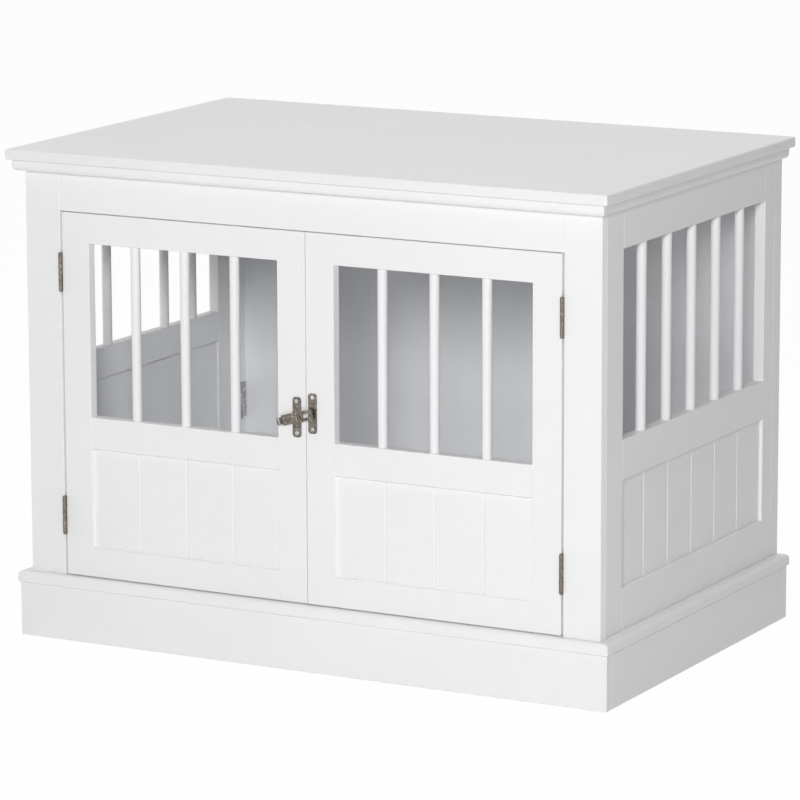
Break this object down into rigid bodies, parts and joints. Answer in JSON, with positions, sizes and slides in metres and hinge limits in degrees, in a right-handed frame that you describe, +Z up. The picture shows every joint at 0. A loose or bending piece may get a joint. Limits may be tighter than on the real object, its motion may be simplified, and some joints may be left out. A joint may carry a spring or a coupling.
{
  "type": "dog crate end table",
  "caption": "Free-standing white dog crate that doubles as an end table: barred front doors and sides over grooved panels, a flat top, a plinth and a draw latch.",
  "frame": {"origin": "centre of the table top's footprint, on the floor", "axes": "+X to the right when facing the doors, +Y from the doors to the back, +Z up"},
  "size_m": [0.88, 0.58, 0.66],
  "materials": {
    "top_paint": "satin white paint on fibreboard",
    "frame_paint": "satin white paint on fibreboard",
    "door_paint": "satin white paint on fibreboard",
    "panel_paint": "satin white paint on fibreboard",
    "plinth_paint": "satin white paint on fibreboard",
    "sheet_paint": "satin white paint on fibreboard",
    "spindle_paint": "satin white paint on turned wood",
    "raw_board": "thin white primer on softwood strips",
    "hinge_steel": "satin nickel plate",
    "latch_steel": "satin nickel plate",
    "screw_steel": "bright zinc plate"
  },
  "bodies": {
    "carcass": {"back_panel": "sheet_paint", "base_cap_back": "plinth_paint", "base_cap_front": "plinth_paint", "base_cap_left": "plinth_paint", "base_cap_right": "plinth_paint", "carcass_screws": "screw_steel", "cleats": "raw_board", "floor_panel": "sheet_paint", "fold_hinge_leaves": "hinge_steel", "frame_hinge_leaves": "hinge_steel", "front_left_post": "frame_paint", "front_right_post": "frame_paint", "front_top_rail": "frame_paint", "hinge_pins": "hinge_steel", "left_bottom_rail": "frame_paint", "left_front_stile": "frame_paint", "left_mid_rail": "frame_paint", "left_panel": "panel_paint", "left_rear_post": "frame_paint", "left_rear_stile": "frame_paint", "left_spindles": "spindle_paint", "left_top_rail": "frame_paint", "plinth_back": "plinth_paint", "plinth_front": "plinth_paint", "plinth_left": "plinth_paint", "plinth_right": "plinth_paint", "right_bottom_rail": "frame_paint", "right_front_stile": "frame_paint", "right_mid_rail": "frame_paint", "right_panel": "panel_paint", "right_rear_post": "frame_paint", "right_rear_stile": "frame_paint", "right_spindles": "spindle_paint", "right_top_rail": "frame_paint", "table_top": "top_paint", "top_moulding_front": "top_paint", "top_moulding_left": "top_paint", "top_moulding_right": "top_paint"},
    "left_door": {"left_door_bottom_rail": "door_paint", "left_door_hinge_leaves": "hinge_steel", "left_door_hinge_stile": "door_paint", "left_door_meeting_stile": "door_paint", "left_door_mid_rail": "door_paint", "left_door_panel": "panel_paint", "left_door_screws": "screw_steel", "left_door_spindles": "spindle_paint", "left_door_top_rail": "door_paint", "latch_base_plate": "latch_steel"},
    "right_door": {"right_door_bottom_rail": "door_paint", "right_door_hinge_leaves": "hinge_steel", "right_door_hinge_stile": "door_paint", "right_door_meeting_stile": "door_paint", "right_door_mid_rail": "door_paint", "right_door_panel": "panel_paint", "right_door_screws": "screw_steel", "right_door_spindles": "spindle_paint", "right_door_top_rail": "door_paint", "catch_plate": "latch_steel"},
    "latch_lever": {"latch_lever": "latch_steel"},
    "latch_bail": {"latch_bail": "latch_steel"}
  },
  "joints": [
    {"name": "left_door_swing", "type": "hinge", "parent": "carcass", "child": "left_door", "pos_m": [-0.369, -0.27, 0.334], "axis": [0, 0, -1], "range_deg": [0, 175]},
    {"name": "right_door_swing", "type": "hinge", "parent": "carcass", "child": "right_door", "pos_m": [0.369, -0.27, 0.334], "axis": [0, 0, 1], "range_deg": [0, 175]},
    {"name": "latch_lever_turn", "type": "hinge", "parent": "left_door", "child": "latch_lever", "pos_m": [-0.00483, -0.2707, 0.33826], "axis": [-0.2775, 0, 0.9607], "range_deg": [0, 90]},
    {"name": "latch_bail_turn", "type": "hinge", "parent": "latch_lever", "child": "latch_bail", "pos_m": [-0.0106, -0.2739, 0.33659], "axis": [-0.2775, 0, 0.9607], "range_deg": [-75, 0]}
  ],
  "couplings": [
    {"joint": "latch_bail_turn", "follows": "latch_lever_turn", "ratio": -0.83}
  ]
}
